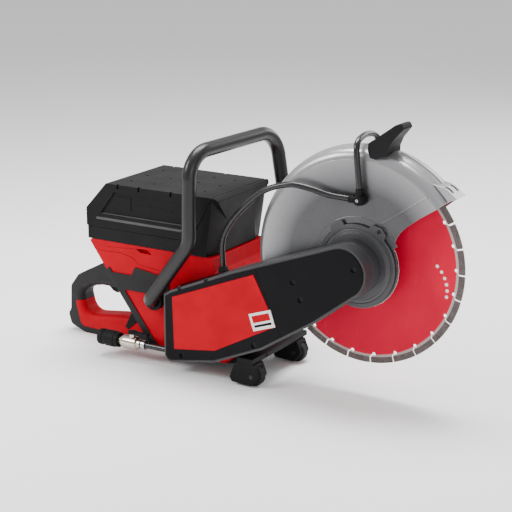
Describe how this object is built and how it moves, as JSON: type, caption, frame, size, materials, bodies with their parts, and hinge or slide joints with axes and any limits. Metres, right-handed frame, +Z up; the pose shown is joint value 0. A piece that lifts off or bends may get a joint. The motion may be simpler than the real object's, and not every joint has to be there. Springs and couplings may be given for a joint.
{
  "type": "rescue saw",
  "caption": "Battery rescue saw with a belt-drive arm, a large diamond blade under a tilting guard, a bent front handle, a rear trigger handle and a water feed.",
  "frame": {"origin": "on the floor, under the middle of the saw's box", "axes": "+X from the rear handle towards the blade, +Y to the operator's left, +Z up"},
  "size_m": [0.8023, 0.2665, 0.464],
  "materials": {
    "red_plastic": "satin moulded",
    "black_plastic": "fine moulded texture",
    "dark_grey_plastic": "fine moulded texture",
    "coated_tube": "semi-gloss coating",
    "dark_casting": "satin coated casting",
    "guard_metal": "satin metallic grey",
    "steel": "turned",
    "copper_winding": "varnished winding",
    "nickel": "satin nickel plate",
    "blade_paint": "satin paint on a steel core",
    "rubber": "matt"
  },
  "bodies": {
    "saw": {"body_shell_right": "red_plastic", "body_shell_left": "red_plastic", "cover_panel": "red_plastic", "handle_panel_right": "red_plastic", "handle_panel_left": "red_plastic", "battery_tray": "black_plastic", "front_housing": "black_plastic", "handle_boss_right": "black_plastic", "handle_boss_left": "black_plastic", "rear_handle_right": "black_plastic", "rear_handle_left": "black_plastic", "belt_cover": "black_plastic", "arm_cover": "black_plastic", "base_frame": "black_plastic", "wheel_bracket_right": "black_plastic", "wheel_bracket_left": "black_plastic", "side_panel_right": "dark_grey_plastic", "side_panel_left": "dark_grey_plastic", "controller": "dark_grey_plastic", "front_handle": "coated_tube", "arm_housing": "dark_casting", "motor_can": "dark_casting", "hub_housing": "dark_casting", "motor_bearing": "steel", "guard_retainer": "steel", "spindle_bearing_outer": "steel", "spindle_bearing_inner": "steel", "axle_right": "steel", "axle_left": "steel", "hose_clamp": "steel", "motor_stator": "copper_winding", "valve_body": "nickel", "drive_belt": "rubber", "supply_hose": "rubber", "inlet_tube": "rubber"},
    "guard": {"guard_shell": "guard_metal", "guard_deflector": "guard_metal", "guard_lever": "black_plastic", "water_tee": "black_plastic", "water_nozzle_left": "black_plastic", "guard_hose": "rubber"},
    "blade": {"diamond_blade": "blade_paint", "inner_flange": "steel", "outer_flange": "steel", "arbor_bolt": "steel", "spindle": "steel", "driven_pulley": "steel"},
    "motor": {"motor_rotor": "steel", "drive_pulley": "steel"},
    "trigger_body": {"trigger": "black_plastic"},
    "lock_off": {"lock_off_lever": "red_plastic"},
    "valve_handle": {"valve_lever": "black_plastic"},
    "coupling_collar": {"coupling_sleeve": "black_plastic"},
    "battery": {"battery_lid": "black_plastic", "battery_base": "black_plastic", "battery_cells": "dark_grey_plastic"},
    "latch": {"battery_latch": "red_plastic"},
    "right_wheel": {"wheel_right": "rubber"},
    "left_wheel": {"wheel_left": "rubber"},
    "button": {"power_button": "red_plastic"}
  },
  "joints": [
    {"name": "guard_tilt", "type": "hinge", "parent": "saw", "child": "guard", "pos_m": [0.2265, -0.02875, 0.228], "axis": [0, 1, 0], "range_deg": [-10, 45], "deforming": ["supply_hose"]},
    {"name": "blade_spin", "type": "hinge", "parent": "saw", "child": "blade", "pos_m": [0.2265, -0.02875, 0.228], "axis": [0, 1, 0], "continuous": true},
    {"name": "motor_spin", "type": "hinge", "parent": "saw", "child": "motor", "pos_m": [-0.0355, -0.02875, 0.106], "axis": [0, 1, 0], "continuous": true},
    {"name": "trigger_pull", "type": "hinge", "parent": "saw", "child": "trigger_body", "pos_m": [-0.2855, -0.00475, 0.112], "axis": [0, 1, 0], "range_deg": [0, 12], "stiffness_Nm_per_rad": 0.5},
    {"name": "lock_off_press", "type": "hinge", "parent": "saw", "child": "lock_off", "pos_m": [-0.3265, -0.00475, 0.131], "axis": [0, 1, 0], "range_deg": [-8, 0], "stiffness_Nm_per_rad": 0.3},
    {"name": "valve_turn", "type": "hinge", "parent": "saw", "child": "valve_handle", "pos_m": [-0.1975, -0.10375, 0.032], "axis": [0, 0, 1], "range_deg": [-90, 0]},
    {"name": "coupling_release", "type": "slide", "parent": "saw", "child": "coupling_collar", "axis": [1, 0, 0], "range_m": [0, 0.005], "stiffness_N_per_m": 400},
    {"name": "battery_slide", "type": "slide", "parent": "saw", "child": "battery", "axis": [-1, 0, 0], "range_m": [0, 0.15]},
    {"name": "latch_press", "type": "slide", "parent": "battery", "child": "latch", "axis": [1, 0, 0], "range_m": [0, 0.004], "stiffness_N_per_m": 400},
    {"name": "right_wheel_spin", "type": "hinge", "parent": "saw", "child": "right_wheel", "pos_m": [0.0555, -0.10075, 0.018], "axis": [0, 1, 0], "continuous": true},
    {"name": "left_wheel_spin", "type": "hinge", "parent": "saw", "child": "left_wheel", "pos_m": [0.0555, 0.04425, 0.018], "axis": [0, 1, 0], "continuous": true},
    {"name": "power_press", "type": "slide", "parent": "saw", "child": "button", "axis": [0, -1, 0], "range_m": [0, 0.003], "stiffness_N_per_m": 300}
  ],
  "couplings": [
    {"joint": "motor_spin", "follows": "blade_spin", "ratio": 1.2}
  ]
}
